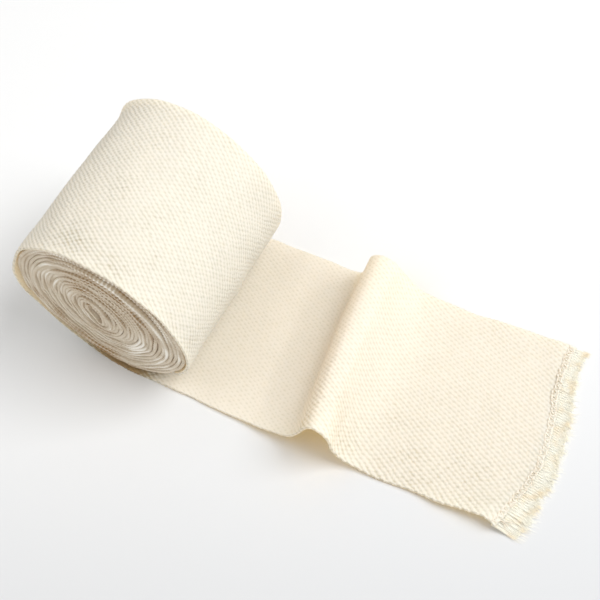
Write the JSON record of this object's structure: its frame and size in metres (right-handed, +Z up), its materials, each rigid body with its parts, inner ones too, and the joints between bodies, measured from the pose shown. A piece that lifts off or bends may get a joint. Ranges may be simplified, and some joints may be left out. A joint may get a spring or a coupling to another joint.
{
  "type": "elastic bandage roll",
  "caption": "Woven cotton elastic bandage wound into a roll, with its free end lying out flat under it, one standing fold and a frayed cut end.",
  "frame": {"origin": "middle of the footprint, on the surface that the bandage lies on", "axes": "+X along the loose end, away from the roll; +Y across the strip, along the roll's axis; +Z up"},
  "size_m": [0.2088, 0.0792, 0.0786],
  "materials": {
    "bandage_cloth": "unbleached cotton crepe weave, soft and matt, cream",
    "frayed_threads": "loose ends of the same cotton yarn, matt, cream"
  },
  "bodies": {
    "root": {"roll": "bandage_cloth", "loose_end": "bandage_cloth", "frayed_end": "frayed_threads"}
  },
  "joints": []
}
